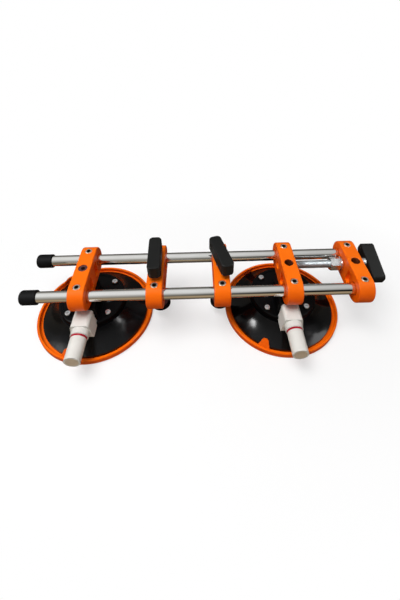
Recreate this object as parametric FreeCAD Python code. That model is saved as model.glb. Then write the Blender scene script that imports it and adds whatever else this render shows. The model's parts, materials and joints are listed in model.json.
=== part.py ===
import FreeCAD
import Part
import math
import os

V = FreeCAD.Vector

# Two-cup vacuum puller and leveller for tiles and slabs.  All sizes in millimetres.
# X runs along the two guide rods, +Y points away from the pump plungers, +Z is up.
# The origin is on the fixed cup's axis, on the plane that the covers rest on.

# ---------------------------------------------------------------- driving sizes
# guide rods and their caps
ROD_R = 8.0
ROD_WALL = 1.5
ROD_SPACING = 68.0
ROD_AXIS_Z = 82.5
ROD_OVERHANG = 76.5          # rod tube beyond the fixed cup's axis
ROD_INSET = 1.0              # rod end below the end bar's outer face
CAP_WALL = 2.2
CAP_END = 2.5
CAP_EDGE_R = 4.0
CAP_GRIP = 19.5              # length of rod inside the cap

# cast cross bars
BAR_WIDTH = 22.0             # along the rods
BAR_END_R = 19.5             # round ends, about the rod axes
BAR_EDGE_R = 1.8
BAR_BORE_CHAMFER = 2.2
CENTRE_THREAD_R = 6.0        # upright hole in the middle of every bar
HOLE_CHAMFER = 0.8
POCKET_DEPTH = 4.5
POCKET_HALF_HEIGHT = 10.5
POCKET_INNER_Y = 8.0
POCKET_ROD_LAND = 5.5        # metal left round the rod bore
POCKET_CORNER_R = 3.0
POCKET_FLOOR_R = 1.2
LEVEL_BAR_1_X = 102.5
LEVEL_BAR_2_X = 193.5
SLIDING_BAR_X = 290.5
END_BAR_X = 386.5

# clearances
RUNNING_GAP = 0.05           # radial, between parts that turn or slide
SEAT_GAP = 0.10              # between parts of one body that nest
MOVING_GAP = 0.40            # axial, between faces that move past each other
CUT_SPARE = 1.0              # how far a cutting tool runs past the face it opens
SAME = 1e-4                  # lengths closer than this count as equal

# set screws over the rods
SET_SCREW_R = 5.0
SET_SCREW_RECESS = 0.4
SET_SCREW_KEY = 5.0          # across flats of the hex socket
SET_SCREW_KEY_DEPTH = 5.0
SET_SCREW_CHAMFER = 0.8

# suction cup: cover, rubber pad, hub plate
COVER_WALL = 3.0
COVER_ROOM = 5.5             # between the pad's rim and the inside of the cover
COVER_FLOOR = 2.0
COVER_HEIGHT = 9.5
COVER_EDGE = 1.0             # chamfer on both sides of the rim
COVER_FOOT_EDGE = 1.2
COVER_BEAD = 0.8             # how far the rim's bead stands out inward
COVER_BEAD_HEIGHT = 2.2
TAB_REACH = 9.5              # tip's lean inward from the cover's outside
TAB_RISE = 11.5              # tip above the rim
TAB_ROOT = 3.0               # foot below the rim's top
TAB_WIDTH = 21.0             # at the foot
TAB_TIP_R = 5.5
TAB_THICK = 2.2
TAB_COUNT = 3
FIXED_TAB_ANGLE = -106.0
SLIDING_TAB_ANGLE = -117.6
PAD_R = 79.0
PAD_EDGE = 4.6               # height of the pad's rim
PAD_LIP = 6.5                # width of the sealing lip
PAD_SHOULDER_IN = 1.6        # chamfer between the rim and the crown
PAD_SHOULDER_UP = 0.6
PAD_CROWN_START = 1.5        # top of the crown, outward of the hub plate
PAD_CROWN_DIP = 2.3          # how far the crown dips below a straight cone
PAD_INNER_FLAT = 5.0         # flat roof inside the pad ends this far inside the hub
PAD_INNER_BEND = 6.0         # its slope turns steeper this far outside the hub
PAD_INNER_DROP = 8.0
PAD_LIP_ROOT = 2.0           # lip's inner foot, across and up
PAD_LIP_RISE = 2.2
PAD_GROOVE_R = 0.6           # ring grooves in the lip's sealing face
PAD_GROOVE_PITCH = 2.0
PAD_GROOVES = 3
PAD_THICK = 6.0
PAD_TOP_Z = 28.0
PAD_PORT_R = 14.0            # opening in the rubber under the pump
HUB_MARGIN = 8.3             # hub plate beyond its circle of screws
HUB_TOP_Z = 37.5
HUB_EDGE_R = 2.5
HUB_RIM = 5.0                # raised rim left round the plate's shallow recess
HUB_RECESS = 0.8
SCREW_SEAT = 1.2             # raised seat left round each screw head
POST_FLARE = 2.5             # at the foot of the hub post
HUB_SCREW_PITCH = 28.8       # each screw's distance from the cup axis, along X and Y
HUB_SCREW_HEAD_R = 4.6
HUB_SCREW_HEAD = 2.6
HUB_SCREW_DOME_R = 1.4
HUB_SCREW_R = 2.5
HUB_SCREW_LENGTH = 12.0
HUB_SCREW_SLOT = 1.0
HUB_SCREW_SLOT_REACH = 2.8
HUB_SCREW_SLOT_DEPTH = 1.7
INSERT_OUTSIDE = 5.3         # steel ring moulded into the pad, outside and inside
INSERT_INSIDE = 7.7          # the circle of screws that it takes
INSERT_THICK = 3.0

# hand pump
PUMP_AXIS_Z = 44.5
PUMP_FLOOR_Z = 31.9
PUMP_FRONT_Y = -64.0
PUMP_BLOCK = 26.0            # length of the housing's block
PUMP_REAR_EDGE_R = 4.0
SPIGOT_WALL = 1.5            # round the bore, where the housing plugs into the saddle
SPIGOT_END_WALL = 4.0        # behind the bore
NECK_POST_R = 16.5           # hub post under the bar, and half the saddle's width
SADDLE_TOP_Z = 60.0
SADDLE_EDGE_R = 4.0
PUMP_FOOT_HALF = 15.8        # half width of the housing at its floor
PUMP_TOP_HALF = 12.6         # half width where the top corners begin
PUMP_TOP_Z = 57.2
PUMP_CORNER_R = 5.0
PUMP_COLLAR_R = 12.1
PUMP_COLLAR = 8.6            # collar length in front of the block
PUMP_COLLAR_EDGE = 0.6
PUMP_COLLAR_ROOT = 4.0       # collar carried on into the block
BORE_SPARE = 6.0             # free bore behind the plunger when it is pushed home
PLUNGER_R = 11.0
PLUNGER_TIP_R = 10.6
PLUNGER_INNER_Y = -56.0
PLUNGER_TIP_Y = -107.5
PLUNGER_HOLLOW_R = 8.4
PLUNGER_PLUG = 4.0
PLUNGER_TRAVEL = 28.0
RED_RING_WIDTH = 3.0
RED_RING_DEPTH = 0.8
RED_RING_GAP = 0.3           # from the collar's mouth when the plunger is out
SEAL_WIDTH = 2.6
SEAL_DEPTH = 1.6
SEAL_FROM_END = 2.4
PUMP_SPRING_R = 6.8
PUMP_SPRING_WIRE_R = 0.6
PUMP_SPRING_TURNS = 11
VALVE_R = 5.0
VALVE_THICK = 1.5
VALVE_HOLE_R = 0.9
PORT_R = 1.5
PORT_Y = -11.0               # suction port; the release port is as far behind the stud
DIMPLE_R = 6.8               # shallow round recess in the housing's roof
DIMPLE_X = 3.2
DIMPLE_FROM_REAR = 2.0
DIMPLE_DEPTH = 0.8
BUTTON_R = 4.6               # release button, at the back of the housing
BUTTON_Z = 47.0
BUTTON_PROUD = 4.0
BUTTON_LENGTH = 8.5
BUTTON_DOME = 1.0
BUTTON_TRAVEL = 2.0
BUTTON_WALL = 1.2
BUTTON_ROOF = 1.5
BUTTON_SPARE = 1.6           # free depth under the button when it is pressed home
BUTTON_SPRING_R = 2.6
BUTTON_SPRING_WIRE_R = 0.5
BUTTON_SPRING_TURNS = 3
STUD_R = CENTRE_THREAD_R - RUNNING_GAP
STUD_KEY = 6.0
STUD_KEY_DEPTH = 6.0
FIXED_STUD_RECESS = 1.2      # stud top below the bar's top
SLIDING_STUD_RECESS = 13.0

# levelling screws
LEVEL_SCREW_R = CENTRE_THREAD_R - RUNNING_GAP
FOOT_BOTTOM_Z = 18.0
FOOT_R = 14.5
FOOT_PAD_THICK = 7.0
FOOT_PAD_EDGE = 1.2
SOCKET_R = 8.5
SOCKET_HEIGHT = 13.0
SOCKET_SKIRT_R = 11.5
SOCKET_SKIRT = 2.0
SOCKET_EDGE = 1.5
NECK_R = 4.0
NECK_HEAD_R = 5.5
NECK_HEAD = 3.0
HANDLE_LENGTH = 61.5
HANDLE_WIDTH = 17.5
HANDLE_HEIGHT = 19.5
HANDLE_CORNER_R = 6.0        # upright corners
HANDLE_EDGE_R = 1.8
HANDLE_GAP = 8.0             # under the handle, above the bar
HANDLE_ROOF = 4.0            # plastic over the screw's end
HANDLE_1_TURN = 2.0
HANDLE_2_TURN = 16.0
TENSION_HANDLE_TURN = 15.0

# tension screw, beside the bars' centre holes
TENSION_Y = 13.5
TENSION_R = 6.0
TENSION_BURIED = 18.5        # screw inside the sliding bar at rest
TENSION_CHAMFER = 1.2
NUT_FLATS = 18.0
NUT_LENGTH = 15.0
INNER_WASHER_R = 10.2
INNER_WASHER = 3.3
OUTER_WASHER_R = 10.0
OUTER_WASHER = 2.0
WASHER_CHAMFER = 0.5
SLEEVE_R = 8.3
SLEEVE = 10.3
SLEEVE_CHAMFER = 0.8

# ---------------------------------------------------------------- derived places
ROD_Y = ROD_SPACING / 2
COVER_R = PAD_R + COVER_ROOM + COVER_WALL
HUB_SCREW_CIRCLE_R = HUB_SCREW_PITCH * math.sqrt(2)
HUB_R = HUB_SCREW_CIRCLE_R + HUB_MARGIN
INSERT_R = HUB_SCREW_CIRCLE_R + INSERT_OUTSIDE
INSERT_HOLE_R = HUB_SCREW_CIRCLE_R - INSERT_INSIDE
BAR_TOP_Z = ROD_AXIS_Z + BAR_END_R
BAR_FLOOR_Z = ROD_AXIS_Z - BAR_END_R
ROD_START_X = -ROD_OVERHANG
ROD_END_X = END_BAR_X + BAR_WIDTH / 2 - ROD_INSET
PAD_FLOOR_Z = COVER_FLOOR
SCREW_TOP_Z = BAR_TOP_Z + HANDLE_GAP + HANDLE_HEIGHT - HANDLE_ROOF
COLLAR_MOUTH_Y = PUMP_FRONT_Y - PUMP_COLLAR
PUMP_REAR_Y = PUMP_FRONT_Y + PUMP_BLOCK
PLUNGER_BORE_R = PLUNGER_R + RUNNING_GAP
BORE_END_Y = PLUNGER_INNER_Y + PLUNGER_TRAVEL + BORE_SPARE
SPIGOT_R = PLUNGER_BORE_R + SPIGOT_WALL
SPIGOT_END_Y = BORE_END_Y + SPIGOT_END_WALL
BUTTON_SEAT_Y = NECK_POST_R + BUTTON_PROUD - BUTTON_LENGTH - BUTTON_TRAVEL - BUTTON_SPARE
END_BAR_OUTER_X = END_BAR_X + BAR_WIDTH / 2
END_BAR_INNER_X = END_BAR_X - BAR_WIDTH / 2
X_AXIS = V(1, 0, 0)
Y_AXIS = V(0, 1, 0)
Z_AXIS = V(0, 0, 1)

os.makedirs("parts", exist_ok=True)


# ---------------------------------------------------------------- shape helpers
def rod(radius, length, base, axis=Z_AXIS):
    return Part.makeCylinder(radius, length, base, axis)


def cone(radius_a, radius_b, length, base, axis=Z_AXIS):
    return Part.makeCone(radius_a, radius_b, length, base, axis)


def fuse(shapes):
    result = shapes[0].fuse(shapes[1:]) if len(shapes) > 1 else shapes[0]
    return result.removeSplitter()


def cut(shape, tools):
    return shape.cut(tools) if tools else shape


def prism(corners, travel):
    """Closed polygon of corners, pushed along the travel vector."""
    wire = Part.makePolygon(list(corners) + [corners[0]])
    return Part.Face(wire).extrude(travel)


def revolve(profile, base=V(0, 0, 0), axis=Z_AXIS):
    """Full turn of a closed wire about an axis."""
    return Part.Face(profile).revolve(base, axis, 360)


def turned(points, centre_x=0.0):
    """Solid of revolution about the upright axis from (radius, height) corners."""
    corners = [V(r, 0, z) for r, z in points]
    solid = revolve(Part.makePolygon(corners + [corners[0]]))
    solid.translate(V(centre_x, 0, 0))
    return solid


def hexagon(flats, length, base, axis):
    """Hexagonal prism with one pair of corners square to the axis."""
    reach = flats / math.sqrt(3)
    side = Y_AXIS if abs(axis.z) > 0.5 else Z_AXIS
    other = axis.cross(side)
    corners = []
    for k in range(6):
        a = math.radians(60 * k)
        corners.append(base + side * (reach * math.cos(a)) + other * (reach * math.sin(a)))
    return prism(corners, axis * length)


def stadium(length, width, height, centre, long_axis, up):
    """Bar with half-round ends; centre is the middle of its lower face."""
    cross = up.cross(long_axis)
    half = length / 2 - width / 2
    a = centre + long_axis * half + cross * (width / 2)
    b = centre - long_axis * half + cross * (width / 2)
    c = centre - long_axis * half - cross * (width / 2)
    d = centre + long_axis * half - cross * (width / 2)
    tip = centre + long_axis * (length / 2)
    tail = centre - long_axis * (length / 2)
    edges = [
        Part.makeLine(a, b),
        Part.Arc(b, tail, c).toShape(),
        Part.makeLine(c, d),
        Part.Arc(d, tip, a).toShape(),
    ]
    return Part.Face(Part.Wire(edges)).extrude(up * height)


def round_face_edges(shape, radius, normal, positions):
    """Fillet every edge that lies wholly in a plane square to the normal."""
    chosen = []
    for edge in shape.Edges:
        heights = [v.Point.dot(normal) for v in edge.Vertexes]
        heights.append(edge.valueAt(edge.FirstParameter).dot(normal))
        heights.append(edge.valueAt((edge.FirstParameter + edge.LastParameter) / 2).dot(normal))
        for level in positions:
            if all(abs(h - level) < SAME for h in heights):
                chosen.append(edge)
                break
    return shape.makeFillet(radius, chosen)


def coil(radius, wire_radius, length, turns):
    """Round-wire spring standing on the origin along +Z."""
    helix = Part.makeHelix(length / turns, length, radius)
    section = Part.Wire(Part.makeCircle(wire_radius, V(radius, 0, 0), Y_AXIS))
    return Part.Wire(helix).makePipeShell([section], True, True)


def save(shape, name):
    solids = shape.Solids
    result = solids[0] if len(solids) == 1 else Part.makeCompound(solids)
    result.exportStep("parts/" + name + ".step")


# ---------------------------------------------------------------- rods and caps
def guide_rod(y):
    length = ROD_END_X - ROD_START_X
    start = V(ROD_START_X, y, ROD_AXIS_Z)
    return cut(rod(ROD_R, length, start, X_AXIS), [rod(ROD_R - ROD_WALL, length, start, X_AXIS)])


def rod_cap(y):
    outer_r = ROD_R + CAP_WALL
    start = V(ROD_START_X - CAP_END, y, ROD_AXIS_Z)
    body = rod(outer_r, CAP_END + CAP_GRIP, start, X_AXIS)
    body = round_face_edges(body, CAP_EDGE_R, X_AXIS, [start.x])
    socket = rod(ROD_R, CAP_GRIP, V(ROD_START_X, y, ROD_AXIS_Z), X_AXIS)
    return cut(body, [socket])


# ---------------------------------------------------------------- cross bars
def bar_pocket(bar_x, face_sign, side):
    """Recess between the middle of the bar and one rod bore, in one end face."""
    land_r = ROD_R + POCKET_ROD_LAND
    face_x = bar_x + face_sign * BAR_WIDTH / 2
    depth = V(-face_sign * POCKET_DEPTH, 0, 0)
    z0 = ROD_AXIS_Z - POCKET_HALF_HEIGHT
    z1 = ROD_AXIS_Z + POCKET_HALF_HEIGHT
    block = prism(
        [
            V(face_x, side * POCKET_INNER_Y, z0),
            V(face_x, side * ROD_Y, z0),
            V(face_x, side * ROD_Y, z1),
            V(face_x, side * POCKET_INNER_Y, z1),
        ],
        depth,
    )
    boss = rod(land_r, POCKET_DEPTH, V(face_x, side * ROD_Y, ROD_AXIS_Z), V(-face_sign, 0, 0))
    pocket = cut(block, [boss])
    upright = [e for e in pocket.Edges if abs(e.Length - POCKET_DEPTH) < SAME]
    pocket = pocket.makeFillet(POCKET_CORNER_R, upright)
    floor_x = face_x - face_sign * POCKET_DEPTH
    return round_face_edges(pocket, POCKET_FLOOR_R, X_AXIS, [floor_x])


def hole_chamfer(x, y, hole_r, face_z, into):
    """Cone that breaks an upright hole's edge; into is +1 or -1 along Z."""
    return cone(hole_r + HOLE_CHAMFER, hole_r, HOLE_CHAMFER, V(x, y, face_z), V(0, 0, into))


def cross_bar(bar_x, bore_gap, takes_tension_screw):
    """Casting with two rod bores, an upright threaded hole and two set-screw holes."""
    body = stadium(
        ROD_SPACING + 2 * BAR_END_R,
        2 * BAR_END_R,
        BAR_WIDTH,
        V(bar_x - BAR_WIDTH / 2, 0, ROD_AXIS_Z),
        Y_AXIS,
        X_AXIS,
    )
    faces_x = [bar_x - BAR_WIDTH / 2, bar_x + BAR_WIDTH / 2]
    body = round_face_edges(body, BAR_EDGE_R, X_AXIS, faces_x)
    tools = []
    bore_r = ROD_R + bore_gap
    for side in (-1, 1):
        y = side * ROD_Y
        tools.append(rod(bore_r, BAR_WIDTH, V(faces_x[0], y, ROD_AXIS_Z), X_AXIS))
        for face_x, inward in zip(faces_x, (1, -1)):
            mouth = V(face_x, y, ROD_AXIS_Z)
            flare = bore_r + BAR_BORE_CHAMFER
            tools.append(cone(flare, bore_r, BAR_BORE_CHAMFER, mouth, V(inward, 0, 0)))
        tools.append(rod(SET_SCREW_R, BAR_END_R + CUT_SPARE, V(bar_x, y, ROD_AXIS_Z)))
        tools.append(hole_chamfer(bar_x, y, SET_SCREW_R, BAR_TOP_Z, -1))
        for face_sign in (-1, 1):
            if side < 0 or not takes_tension_screw:
                tools.append(bar_pocket(bar_x, face_sign, side))
    tools.append(rod(CENTRE_THREAD_R, 2 * BAR_END_R, V(bar_x, 0, BAR_FLOOR_Z)))
    tools.append(hole_chamfer(bar_x, 0, CENTRE_THREAD_R, BAR_TOP_Z, -1))
    tools.append(hole_chamfer(bar_x, 0, CENTRE_THREAD_R, BAR_FLOOR_Z, 1))
    if takes_tension_screw:
        start = V(faces_x[0], TENSION_Y, ROD_AXIS_Z)
        tools.append(rod(TENSION_R + RUNNING_GAP, BAR_WIDTH, start, X_AXIS))
    return cut(body, tools)


def set_screws(bar_x):
    """Two hex-socket set screws bearing on the rods."""
    pair = []
    top = BAR_TOP_Z - SET_SCREW_RECESS
    low = ROD_AXIS_Z + ROD_R + RUNNING_GAP
    for side in (-1, 1):
        y = side * ROD_Y
        body = rod(SET_SCREW_R, top - low, V(bar_x, y, low))
        body = body.makeChamfer(SET_SCREW_CHAMFER, [e for e in body.Edges if len(e.Vertexes) == 1])
        key_base = V(bar_x, y, top - SET_SCREW_KEY_DEPTH)
        pair.append(cut(body, [hexagon(SET_SCREW_KEY, SET_SCREW_KEY_DEPTH, key_base, Z_AXIS)]))
    return Part.makeCompound(pair)


# ---------------------------------------------------------------- suction cup
def pad_crown():
    """Profile arc of the pad's top, from its rim to the hub plate, and its ends."""
    start = V(PAD_R - PAD_SHOULDER_IN, 0, PAD_FLOOR_Z + PAD_EDGE + PAD_SHOULDER_UP)
    end = V(HUB_R + PAD_CROWN_START, 0, PAD_TOP_Z)
    slope = (end - start).normalize()
    middle = (start + end) * 0.5 - Y_AXIS.cross(slope) * PAD_CROWN_DIP
    return Part.Arc(start, middle, end), start, end


def rubber_pad(cup_x):
    arc, start, end = pad_crown()
    rim_low = V(PAD_R, 0, PAD_FLOOR_Z)
    rim_high = V(PAD_R, 0, PAD_FLOOR_Z + PAD_EDGE)
    port_top = V(PAD_PORT_R, 0, PAD_TOP_Z)
    port_low = V(PAD_PORT_R, 0, PAD_TOP_Z - PAD_THICK)
    inner_top = V(HUB_R - PAD_INNER_FLAT, 0, PAD_TOP_Z - PAD_THICK)
    inner_bend = V(HUB_R + PAD_INNER_BEND, 0, PAD_TOP_Z - PAD_THICK - PAD_INNER_DROP)
    inner_low = V(PAD_R - PAD_LIP - PAD_LIP_ROOT, 0, PAD_FLOOR_Z + PAD_LIP_RISE)
    lip = V(PAD_R - PAD_LIP, 0, PAD_FLOOR_Z)
    edges = [
        Part.makeLine(rim_low, rim_high),
        Part.makeLine(rim_high, start),
        arc.toShape(),
        Part.makeLine(end, port_top),
        Part.makeLine(port_top, port_low),
        Part.makeLine(port_low, inner_top),
        Part.makeLine(inner_top, inner_bend),
        Part.makeLine(inner_bend, inner_low),
        Part.makeLine(inner_low, lip),
        Part.makeLine(lip, rim_low),
    ]
    pad = revolve(Part.Wire(edges))
    ring_room = turned(
        [
            (INSERT_HOLE_R, PAD_TOP_Z - INSERT_THICK),
            (INSERT_R, PAD_TOP_Z - INSERT_THICK),
            (INSERT_R, PAD_TOP_Z),
            (INSERT_HOLE_R, PAD_TOP_Z),
        ]
    )
    tools = [ring_room]
    for k in range(PAD_GROOVES):
        groove_r = PAD_R - PAD_GROOVE_PITCH * (k + 1) + PAD_GROOVE_R
        tools.append(Part.makeTorus(groove_r, PAD_GROOVE_R, V(0, 0, PAD_FLOOR_Z)))
    pad = cut(pad, tools)
    pad.translate(V(cup_x, 0, 0))
    return pad


def hub_screw_places(cup_x):
    for sx in (-1, 1):
        for sy in (-1, 1):
            yield V(cup_x + sx * HUB_SCREW_PITCH, sy * HUB_SCREW_PITCH, 0)


def insert_ring(cup_x):
    low = PAD_TOP_Z - INSERT_THICK
    ring = turned(
        [(INSERT_HOLE_R, low), (INSERT_R, low), (INSERT_R, PAD_TOP_Z), (INSERT_HOLE_R, PAD_TOP_Z)],
        cup_x,
    )
    holes = [rod(HUB_SCREW_R, INSERT_THICK, p + V(0, 0, low)) for p in hub_screw_places(cup_x)]
    return cut(ring, holes)


def pump_slot():
    """Open-fronted slot in the hub plate that the housing's block drops into."""
    half = PUMP_FOOT_HALF + SEAT_GAP
    rear = PUMP_REAR_Y + SEAT_GAP
    front = -HUB_R - CUT_SPARE
    corners = [
        V(-half, front, PUMP_FLOOR_Z),
        V(half, front, PUMP_FLOOR_Z),
        V(half, rear, PUMP_FLOOR_Z),
        V(-half, rear, PUMP_FLOOR_Z),
    ]
    return prism(corners, V(0, 0, HUB_TOP_Z))


def hub_saddle():
    """Raised back of the hub plate that takes the pump housing's spigot."""
    front = PUMP_REAR_Y + SEAT_GAP
    low = HUB_TOP_Z - HUB_EDGE_R
    block = Part.makeBox(2 * NECK_POST_R, -front, SADDLE_TOP_Z - low, V(-NECK_POST_R, front, low))
    crests = []
    for edge in block.Edges:
        ends = [v.Point for v in edge.Vertexes]
        if abs(ends[0].y - ends[1].y) > SAME and ends[0].z > SADDLE_TOP_Z - SAME:
            crests.append(edge)
    return block.makeFillet(SADDLE_EDGE_R, crests)


def hub_recess():
    """Shallow ring sunk into the plate's top, leaving seats under the screw heads."""
    floor_z = HUB_TOP_Z - HUB_RECESS
    ring = rod(HUB_R - HUB_RIM, HUB_TOP_Z, V(0, 0, floor_z))
    kept = [rod(NECK_POST_R + POST_FLARE, HUB_TOP_Z, V(0, 0, floor_z))]
    half = NECK_POST_R + POST_FLARE
    kept.append(Part.makeBox(2 * half, HUB_R, HUB_TOP_Z, V(-half, -HUB_R, floor_z)))
    for place in hub_screw_places(0.0):
        kept.append(rod(HUB_SCREW_HEAD_R + SCREW_SEAT, HUB_TOP_Z, place + V(0, 0, floor_z)))
    return cut(ring, kept)


def hub_plate(cup_x):
    """Round plate with the pump's saddle and the post that carries the bar."""
    plate = rod(HUB_R, HUB_TOP_Z - PAD_TOP_Z, V(0, 0, PAD_TOP_Z))
    plate = round_face_edges(plate, HUB_EDGE_R, Z_AXIS, [HUB_TOP_Z])
    plate = cut(plate, [hub_recess()])
    post = rod(NECK_POST_R, BAR_FLOOR_Z - PAD_TOP_Z, V(0, 0, PAD_TOP_Z))
    flare = cone(NECK_POST_R + POST_FLARE, NECK_POST_R, POST_FLARE, V(0, 0, HUB_TOP_Z))
    plate = fuse([plate, hub_saddle(), post, flare])
    room_y = PUMP_REAR_Y - CUT_SPARE
    room_length = SPIGOT_END_Y + SEAT_GAP - room_y
    port_low = PAD_TOP_Z - CUT_SPARE
    seat_length = NECK_POST_R - BUTTON_SEAT_Y
    tools = [
        pump_slot(),
        rod(SPIGOT_R + SEAT_GAP, room_length, V(0, room_y, PUMP_AXIS_Z), Y_AXIS),
        rod(PORT_R, PORT_Y - SPIGOT_END_Y, V(0, SPIGOT_END_Y, PUMP_AXIS_Z), Y_AXIS),
        rod(PORT_R, PUMP_AXIS_Z - port_low, V(0, PORT_Y, port_low)),
        rod(PORT_R, BUTTON_Z - port_low, V(0, -PORT_Y, port_low)),
        rod(BUTTON_R + RUNNING_GAP, seat_length, V(0, BUTTON_SEAT_Y, BUTTON_Z), Y_AXIS),
        rod(CENTRE_THREAD_R, BAR_FLOOR_Z, V(0, 0, PAD_TOP_Z)),
    ]
    for place in hub_screw_places(0.0):
        tools.append(rod(HUB_SCREW_R, HUB_TOP_Z, place + V(0, 0, port_low)))
    plate = cut(plate, tools)
    plate.translate(V(cup_x, 0, 0))
    return plate


def hub_screws(cup_x):
    """Four pan-head screws with cross slots."""
    screws = []
    for place in hub_screw_places(cup_x):
        seat = place + V(0, 0, HUB_TOP_Z)
        head = rod(HUB_SCREW_HEAD_R, HUB_SCREW_HEAD, seat)
        head = round_face_edges(head, HUB_SCREW_DOME_R, Z_AXIS, [HUB_TOP_Z + HUB_SCREW_HEAD])
        shank = rod(HUB_SCREW_R, HUB_SCREW_LENGTH, seat - V(0, 0, HUB_SCREW_LENGTH))
        screw = head.fuse(shank)
        slot = 2 * HUB_SCREW_SLOT_REACH
        for a, b in ((slot, HUB_SCREW_SLOT), (HUB_SCREW_SLOT, slot)):
            corner = seat + V(-a / 2, -b / 2, HUB_SCREW_HEAD - HUB_SCREW_SLOT_DEPTH)
            screw = screw.cut(Part.makeBox(a, b, HUB_SCREW_HEAD, corner))
        screws.append(screw)
    return Part.makeCompound(screws)


def cover_tongue():
    """Upright tongue on the cover's rim that leans in over the pad's edge."""
    foot = V(COVER_R - COVER_EDGE, 0, COVER_HEIGHT - TAB_ROOT)
    tip = V(COVER_R - TAB_REACH, 0, COVER_HEIGHT + TAB_RISE)
    rise = (tip - foot).normalize()
    inward = Y_AXIS.cross(rise) * -1
    half = Y_AXIS * (TAB_WIDTH / 2)
    nose = tip - rise * TAB_TIP_R
    edges = [
        Part.makeLine(foot - half, foot + half),
        Part.makeLine(foot + half, nose + Y_AXIS * TAB_TIP_R),
        Part.Arc(nose + Y_AXIS * TAB_TIP_R, tip, nose - Y_AXIS * TAB_TIP_R).toShape(),
        Part.makeLine(nose - Y_AXIS * TAB_TIP_R, foot - half),
    ]
    return Part.Face(Part.Wire(edges)).extrude(inward * TAB_THICK)


def protective_cover(cup_x, first_angle):
    """Dish with tongues that hold it on the pad."""
    inner_r = COVER_R - COVER_WALL
    dish = turned(
        [
            (0, 0),
            (COVER_R - COVER_FOOT_EDGE, 0),
            (COVER_R, COVER_FOOT_EDGE),
            (COVER_R, COVER_HEIGHT - COVER_EDGE),
            (COVER_R - COVER_EDGE, COVER_HEIGHT),
            (inner_r, COVER_HEIGHT),
            (inner_r - COVER_BEAD, COVER_HEIGHT - COVER_EDGE),
            (inner_r - COVER_BEAD, COVER_HEIGHT - COVER_BEAD_HEIGHT),
            (inner_r, COVER_HEIGHT - COVER_BEAD_HEIGHT - COVER_BEAD),
            (inner_r, COVER_FLOOR + COVER_BEAD),
            (inner_r - COVER_BEAD, COVER_FLOOR),
            (0, COVER_FLOOR),
        ]
    )
    tongues = []
    for k in range(TAB_COUNT):
        tongue = cover_tongue()
        tongue.rotate(V(0, 0, 0), Z_AXIS, first_angle + 360.0 / TAB_COUNT * k)
        tongues.append(tongue)
    cover = fuse([dish] + tongues)
    cover.translate(V(cup_x, 0, 0))
    return cover


# ---------------------------------------------------------------- hand pump
def pump_block_outline(y):
    """Front outline: flared flanks, flat roof and rounded upper corners."""
    flank_z = PUMP_TOP_Z - PUMP_CORNER_R
    roof_half = PUMP_TOP_HALF - PUMP_CORNER_R
    bend = PUMP_CORNER_R * (1 - math.sqrt(0.5))
    points = {}
    for side in (-1, 1):
        points[side] = (
            V(side * PUMP_FOOT_HALF, y, PUMP_FLOOR_Z),
            V(side * PUMP_TOP_HALF, y, flank_z),
            V(side * (PUMP_TOP_HALF - bend), y, PUMP_TOP_Z - bend),
            V(side * roof_half, y, PUMP_TOP_Z),
        )
    right, left = points[1], points[-1]
    edges = [
        Part.makeLine(left[0], right[0]),
        Part.makeLine(right[0], right[1]),
        Part.Arc(right[1], right[2], right[3]).toShape(),
        Part.makeLine(right[3], left[3]),
        Part.Arc(left[3], left[2], left[1]).toShape(),
        Part.makeLine(left[1], left[0]),
    ]
    return Part.Wire(edges)


def pump_housing(cup_x):
    """Block with the plunger's collar in front and its spigot behind."""
    block = Part.Face(pump_block_outline(PUMP_FRONT_Y)).extrude(V(0, PUMP_BLOCK, 0))
    flanks = []
    for edge in block.Edges:
        ends = [v.Point for v in edge.Vertexes]
        at_rear = all(abs(p.y - PUMP_REAR_Y) < SAME for p in ends)
        if at_rear and abs(ends[0].z - ends[1].z) > PUMP_CORNER_R + SAME:
            flanks.append(edge)
    block = block.makeFillet(PUMP_REAR_EDGE_R, flanks)
    collar_length = PUMP_COLLAR + PUMP_COLLAR_ROOT
    collar = rod(PUMP_COLLAR_R, collar_length, V(0, COLLAR_MOUTH_Y, PUMP_AXIS_Z), Y_AXIS)
    collar = round_face_edges(collar, PUMP_COLLAR_EDGE, Y_AXIS, [COLLAR_MOUTH_Y])
    spigot_root = PUMP_REAR_Y - PUMP_REAR_EDGE_R
    spigot = rod(SPIGOT_R, SPIGOT_END_Y - spigot_root, V(0, spigot_root, PUMP_AXIS_Z), Y_AXIS)
    body = fuse([block, collar, spigot])
    bore_length = BORE_END_Y - COLLAR_MOUTH_Y
    dimple_y = PUMP_REAR_Y - DIMPLE_FROM_REAR
    tools = [
        rod(PLUNGER_BORE_R, bore_length, V(0, COLLAR_MOUTH_Y, PUMP_AXIS_Z), Y_AXIS),
        rod(VALVE_R, VALVE_THICK, V(0, BORE_END_Y, PUMP_AXIS_Z), Y_AXIS),
        rod(PORT_R, SPIGOT_END_WALL, V(0, BORE_END_Y, PUMP_AXIS_Z), Y_AXIS),
        rod(DIMPLE_R, DIMPLE_DEPTH, V(DIMPLE_X, dimple_y, PUMP_TOP_Z - DIMPLE_DEPTH)),
    ]
    body = cut(body, tools)
    body.translate(V(cup_x, 0, 0))
    return body


def check_valve(cup_x):
    valve = rod(VALVE_R, VALVE_THICK, V(cup_x, BORE_END_Y, PUMP_AXIS_Z), Y_AXIS)
    return cut(valve, [rod(VALVE_HOLE_R, VALVE_THICK, V(cup_x, BORE_END_Y, PUMP_AXIS_Z), Y_AXIS)])


def ring_along_y(cup_x, outer_r, inner_r, y0, width):
    base = V(cup_x, y0, PUMP_AXIS_Z)
    return cut(rod(outer_r, width, base, Y_AXIS), [rod(inner_r, width, base, Y_AXIS)])


def plunger_taper_r(y):
    """Outer radius of the plunger at a place along it."""
    share = (PLUNGER_INNER_Y - y) / (PLUNGER_INNER_Y - PLUNGER_TIP_Y)
    return PLUNGER_R + (PLUNGER_TIP_R - PLUNGER_R) * share


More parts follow.
